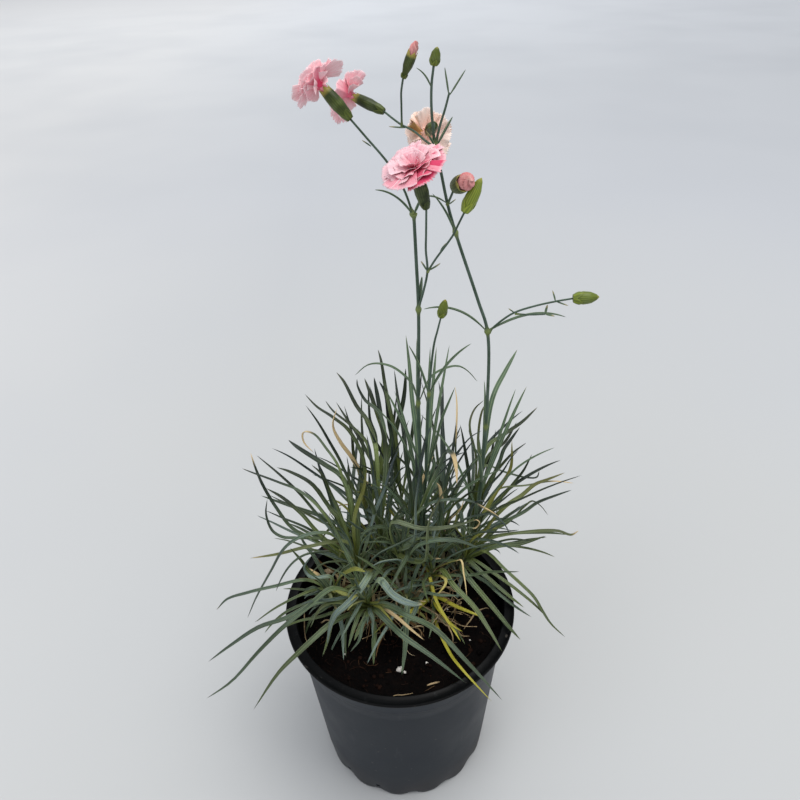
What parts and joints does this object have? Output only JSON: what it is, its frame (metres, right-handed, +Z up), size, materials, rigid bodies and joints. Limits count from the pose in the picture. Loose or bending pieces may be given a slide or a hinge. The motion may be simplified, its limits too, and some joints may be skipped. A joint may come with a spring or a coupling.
{
  "type": "dianthus plant in a nursery pot",
  "caption": "Potted dianthus: a clump of narrow grey-green leaves, tall thin flower stems with double pink blooms and green buds, in soil in a round dark pot.",
  "frame": {"origin": "centre of the pot's underside, on the surface that it stands on", "axes": "+Z up along the pot's axis, -Y the front as pictured, +X to the viewer's right"},
  "size_m": [0.2831, 0.2453, 0.5637],
  "materials": {
    "pot_plastic": "satin",
    "soil": "matte",
    "leaf": "satin",
    "stem": "satin",
    "calyx": "satin",
    "petal_pink": "matte",
    "petal_peach": "matte",
    "bud_petal": "matte",
    "yellow_leaf": "matte",
    "dry_leaf": "matte"
  },
  "bodies": {
    "root": {"bud_green": "calyx", "bud_opening": "calyx", "bud_opening_petals": "bud_petal", "bud_side": "calyx", "bud_tall": "calyx", "bud_tall_petals": "bud_petal", "bud_top": "calyx", "bud_young": "calyx", "calyx_behind": "calyx", "calyx_faded": "calyx", "calyx_front": "calyx", "calyx_left": "calyx", "dry_centre": "dry_leaf", "dry_front": "dry_leaf", "dry_left": "dry_leaf", "flower_stem_left": "stem", "flower_stem_right": "stem", "flower_stem_young": "stem", "petals_behind": "petal_pink", "petals_faded": "petal_peach", "petals_front": "petal_pink", "petals_left": "petal_pink", "pot": "pot_plastic", "shoot_back": "leaf", "shoot_back_left": "leaf", "shoot_back_right": "leaf", "shoot_centre": "leaf", "shoot_centre_left": "leaf", "shoot_centre_right": "leaf", "shoot_front": "leaf", "shoot_front_mid": "leaf", "shoot_left": "leaf", "shoot_left_back": "leaf", "shoot_left_tuft": "leaf", "shoot_middle_front": "leaf", "shoot_right": "leaf", "shoot_right_back": "leaf", "shoot_right_front": "leaf", "soil": "soil", "yellow_leaves": "yellow_leaf"}
  },
  "joints": []
}
